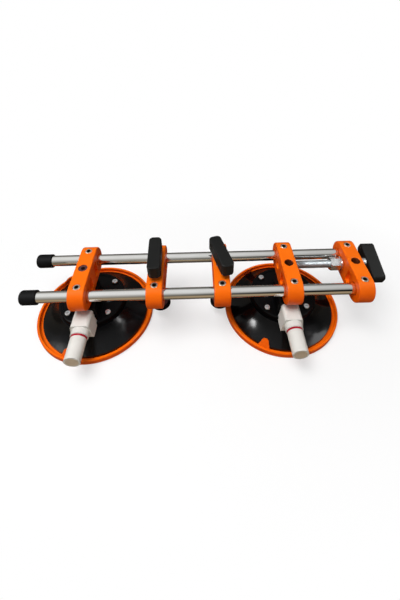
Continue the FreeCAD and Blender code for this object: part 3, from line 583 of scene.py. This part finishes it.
def make_tension_screw():
    """Threaded from end to end, along X."""
    low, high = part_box("tension_screw")
    _, middle_y, middle_z = middle(low, high)
    crest = (high[2] - low[2]) / 2 - CREST_SHY
    length = high[0] - low[0]
    chamfer = 0.0012
    rings = [
        plain_ring(0.0, crest - chamfer),
        *threaded_rings(crest, chamfer, length - chamfer),
        plain_ring(length, crest - chamfer),
    ]
    turn = Matrix.Rotation(math.pi / 2, 4, "Y")
    add_screw("tension_screw", "tensioner", rings, (low[0], middle_y, middle_z), turn)


def make_level_screw(number):
    """Threaded above its foot, with the plain headed neck that turns in the foot's socket."""
    node = f"level_screw_{number}"
    low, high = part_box(node)
    middle_x, middle_y, _ = middle(low, high)
    crest = (high[0] - low[0]) / 2 - CREST_SHY
    length = high[2] - low[2]
    chamfer = 0.0010
    head_r, head_high = 0.0055, 0.0030
    neck_r, neck_high = 0.0040, 0.0110
    rings = [
        plain_ring(0.0, head_r),
        plain_ring(head_high, head_r),
        plain_ring(head_high + SHOULDER, neck_r),
        plain_ring(neck_high, neck_r),
        plain_ring(neck_high + SHOULDER, crest - chamfer),
        *threaded_rings(crest, neck_high + chamfer, length - chamfer),
        plain_ring(length, crest - chamfer),
    ]
    add_screw(node, f"leveller_{number}", rings, (middle_x, middle_y, low[2]), Matrix.Identity(4))


# ------------------------------------------------------------------ springs
STEPS_PER_TURN = 28
WIRE_SIDES = 10
PUMP_SPRING = {"fixed_end": -0.022, "travel": 0.028, "wire_r": 0.0006, "turns": 11}
RELEASE_SPRING = {"fixed_end": 0.0084, "travel": 0.002, "wire_r": 0.0005, "turns": 3}


def coil_rows(low, high, wire_r, turns):
    """Rows of points around a round wire, wound along Y from end to end of the box that it fills."""
    middle_x, _, middle_z = middle(low, high)
    coil_r = (high[0] - low[0]) / 2 - wire_r
    start = low[1] + wire_r
    length = high[1] - low[1] - 2 * wire_r
    count = turns * STEPS_PER_TURN
    rows = []
    for k in range(count + 1):
        angle = math.tau * k / STEPS_PER_TURN
        row = []
        for side in range(WIRE_SIDES):
            around = math.tau * side / WIRE_SIDES
            reach = coil_r + wire_r * math.cos(around)
            x = middle_x + reach * math.cos(angle)
            y = start + length * k / count + wire_r * math.sin(around)
            z = middle_z + reach * math.sin(angle)
            row.append((x, y, z))
        rows.append(row)
    return rows


def make_spring(node, body, joint, fixed_end, travel, wire_r, turns):
    """A spring coiled to fill its CAD node's box, in place of that node."""
    low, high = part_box(node)
    mesh = tube_mesh(node + "_coil", coil_rows(low, high, wire_r, turns))
    mesh.materials.append(FINISHES["spring_steel"])
    piece = bpy.data.objects.new(node + "_coil", mesh)
    scene.collection.objects.link(piece)
    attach(piece, body)
    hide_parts(node)
    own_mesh(piece)


# ------------------------------------------------------------------ camera
PHOTO_LENS = 20.29
PHOTO_SHIFT = (-0.01165, -0.13745)


def place_camera():
    """The photograph's viewpoint: in front of the part, above it and between the two cups."""
    data = bpy.data.cameras.new("camera")
    obj = bpy.data.objects.new("camera", data)
    scene.collection.objects.link(obj)
    place = Vector((0.16412, -0.33096, 0.45237))
    right = Vector((0.99944, -0.03327, -0.00317))
    up = Vector((0.02328, 0.62494, 0.78032))
    back = Vector((-0.02398, -0.77996, 0.62537))
    turn = Matrix((right, up, back)).transposed().to_4x4()
    obj.matrix_world = Matrix.Translation(place) @ turn
    data.sensor_width = 36.0
    data.lens = PHOTO_LENS
    data.shift_x, data.shift_y = PHOTO_SHIFT
    data.clip_start = 0.01
    data.clip_end = 20.0
    scene.camera = obj


# ------------------------------------------------------------------ floor and cards
FLOOR_SPAN = (-6.0, 6.0)
FLOOR_HEIGHT = -0.0002
CARD_HEIGHT = -0.0001
SHADED_PATCH = (0.42, 0.26)  # half lengths, in x and y


def flat_piece(name, x_span, y_span, height, finish):
    """A level rectangle at a height."""
    (left, right), (near, far) = x_span, y_span
    mesh = bpy.data.meshes.new(name)
    corners = [(left, near, height), (right, near, height), (right, far, height), (left, far, height)]
    mesh.from_pydata(corners, [], [(0, 1, 2, 3)])
    mesh.materials.append(finish)
    piece = bpy.data.objects.new(name, mesh)
    scene.collection.objects.link(piece)
    return piece


def show_in_gloss_only(piece):
    piece.visible_camera = False
    piece.visible_diffuse = False
    piece.visible_transmission = False
    piece.visible_volume_scatter = False
    piece.visible_shadow = False


def studio_floor():
    """White paper to the camera; what it throws back on the object is a buff floor's warm light.

    The shadow falls on the patch round the object; from there on the paper fades to plain white.
    """
    m = Material("floor")
    camera, gloss = m.rays()
    paper = m.ramp(m.noise(3.0, 3.0), [(0.3, (0.94, 0.94, 0.94)), (0.7, (0.91, 0.91, 0.91))])
    buff = (0.42, 0.36, 0.28)
    m.colour(m.mix(camera, buff, paper))
    m.set(Roughness=0.9, Specular_IOR_Level=0.0)
    white = m.add("ShaderNodeEmission", Strength=1.0)
    x, y, _ = m.axes()
    half_x, half_y = SHADED_PATCH
    across = m.maths("DIVIDE", m.maths("SUBTRACT", x, PART_MIDDLE[0]), half_x)
    along = m.maths("DIVIDE", y, half_y)
    fade = m.span(m.length(across, along), 0.55, 1.0, 0.50, 1.15)
    seen = m.maths("MAXIMUM", camera, gloss)
    m.surface(m.blend(m.product(seen, fade), m.shader.outputs[0], white.outputs[0]))
    return m.material


def card_finish():
    """A glowing stand-in for the floor as the gloss sees it: buff in front of the object, dark under it,
    where the object's shadow is painted, and dark behind it.
    """
    m = Material("reflector_card")
    _, y, _ = m.axes()
    m.glow(m.ramp(m.span(y, 0.0, 1.0, -1.0, 0.5), [
        (0.0, (0.15, 0.120, 0.085)),
        (0.25, (0.36, 0.270, 0.165)),
        (0.56, (0.38, 0.285, 0.175)),
        (0.62, (0.10, 0.080, 0.060)),
        (0.75, (0.07, 0.060, 0.050)),
        (1.0, (0.06, 0.055, 0.050)),
    ]))
    return m.material


def flag_finish(name, grey):
    """An even grey glow, barely mottled."""
    m = Material(name)
    pale = grey * 1.06
    m.glow(m.ramp(m.noise(3.0, 2.0), [(0.3, (grey, grey, grey)), (0.7, (pale, pale, pale))]))
    return m.material


def make_floor():
    floor = flat_piece("floor", FLOOR_SPAN, FLOOR_SPAN, FLOOR_HEIGHT, studio_floor())


def make_card():
    """A card on the floor that only the gloss of the object sees."""
    card = flat_piece("reflector_card", FLOOR_SPAN, FLOOR_SPAN, CARD_HEIGHT, card_finish())
    show_in_gloss_only(card)


def make_flag(name, x_span, y_span, height, grey):
    """A grey card, seen only in gloss, that keeps a lamp's glare off part of the object."""
    flag = flat_piece(name, x_span, y_span, height, flag_finish(name, grey))
    show_in_gloss_only(flag)


# ------------------------------------------------------------------ lamps and world
SOFT_LIGHT = 0.28
STUDIO_BY_HEIGHT = [
    (0.0, (0.22, 0.195, 0.155)),
    (0.30, (0.27, 0.255, 0.230)),
    (0.55, (0.37, 0.365, 0.345)),
    (0.80, (0.60, 0.600, 0.590)),
    (1.0, (0.72, 0.720, 0.720)),
]


def area_light(name, place, size, power, in_gloss):
    """A lamp aimed at the middle of the part; it is seen either in gloss or in diffuse light."""
    data = bpy.data.lights.new(name, "AREA")
    data.shape = "RECTANGLE"
    data.size, data.size_y = size
    data.energy = power
    obj = bpy.data.objects.new(name, data)
    obj.location = place
    obj.rotation_euler = (Vector(PART_MIDDLE) - Vector(place)).to_track_quat("-Z", "Y").to_euler()
    scene.collection.objects.link(obj)
    obj.visible_glossy = in_gloss
    obj.visible_diffuse = not in_gloss


def make_world():
    """Even soft light; white behind the object; a studio for gloss, bright overhead.

    The studio is dimmer behind the object and to the right. Its wall in front is dark towards
    the right, which draws the dark line along the rods.
    """
    world = bpy.data.worlds.new("studio")
    scene.world = world
    sky = Nodes(world, "Generated", "World Output")
    x, y, z = sky.axes()
    not_behind = sky.span(y, 1.0, 0.35, 0.60, 0.98)
    sideways = sky.span(x, 1.22, 0.78, -0.35, 0.45)
    to_the_right = sky.span(x, 0.0, 0.99, -0.20, 0.26)
    low_down = sky.span(z, 1.0, 0.0, 0.36, 0.60)
    in_front = sky.span(y, 1.0, 0.0, -0.20, 0.20)
    dark_wall = sky.product(to_the_right, low_down, in_front)
    open_wall = sky.maths("SUBTRACT", 1.0, dark_wall)
    soft = sky.add("ShaderNodeBackground", Color=(1.0, 1.0, 1.0, 1.0), Strength=SOFT_LIGHT)
    white = sky.add("ShaderNodeBackground", Color=(1.0, 1.0, 1.0, 1.0), Strength=1.0)
    studio = sky.add("ShaderNodeBackground")
    sky.link(sky.ramp(z, STUDIO_BY_HEIGHT), studio.inputs["Color"])
    sky.link(sky.product(not_behind, sideways, open_wall), studio.inputs["Strength"])
    camera, gloss = sky.rays()
    with_gloss = sky.blend(gloss, soft.outputs[0], studio.outputs[0])
    sky.surface(sky.blend(camera, with_gloss, white.outputs[0]))


# ------------------------------------------------------------------ the whole
finish_cad_nodes()
make_tension_screw()
make_level_screw(1)
make_level_screw(2)
for cup, body in (("fixed", "frame"), ("sliding", "carriage")):
    make_spring(f"{cup}_cup_plunger_spring", body, f"{cup}_pump_stroke", **PUMP_SPRING)
    make_spring(f"{cup}_cup_release_spring", body, f"{cup}_release_press", **RELEASE_SPRING)

place_camera()
make_floor()
make_card()
make_flag("flag_left_pad", (-0.62, -0.20), (-0.30, 0.22), 0.27, 0.53)
make_flag("flag_right_pad", (0.70, 0.96), (-0.36, -0.08), 0.295, 0.26)
make_world()
area_light("key_box", (-0.14, -0.22, 1.28), (0.8, 0.6), 15.8, in_gloss=False)
area_light("left_box", (-0.90, -0.20, 1.02), (0.36, 0.36), 20.0, in_gloss=True)
area_light("right_box", (1.38, -0.10, 1.15), (0.60, 0.60), 7.0, in_gloss=True)
area_light("right_window", (1.17, -0.38, 0.57), (0.14, 0.14), 2.5, in_gloss=True)

scene.view_settings.view_transform = "Standard"
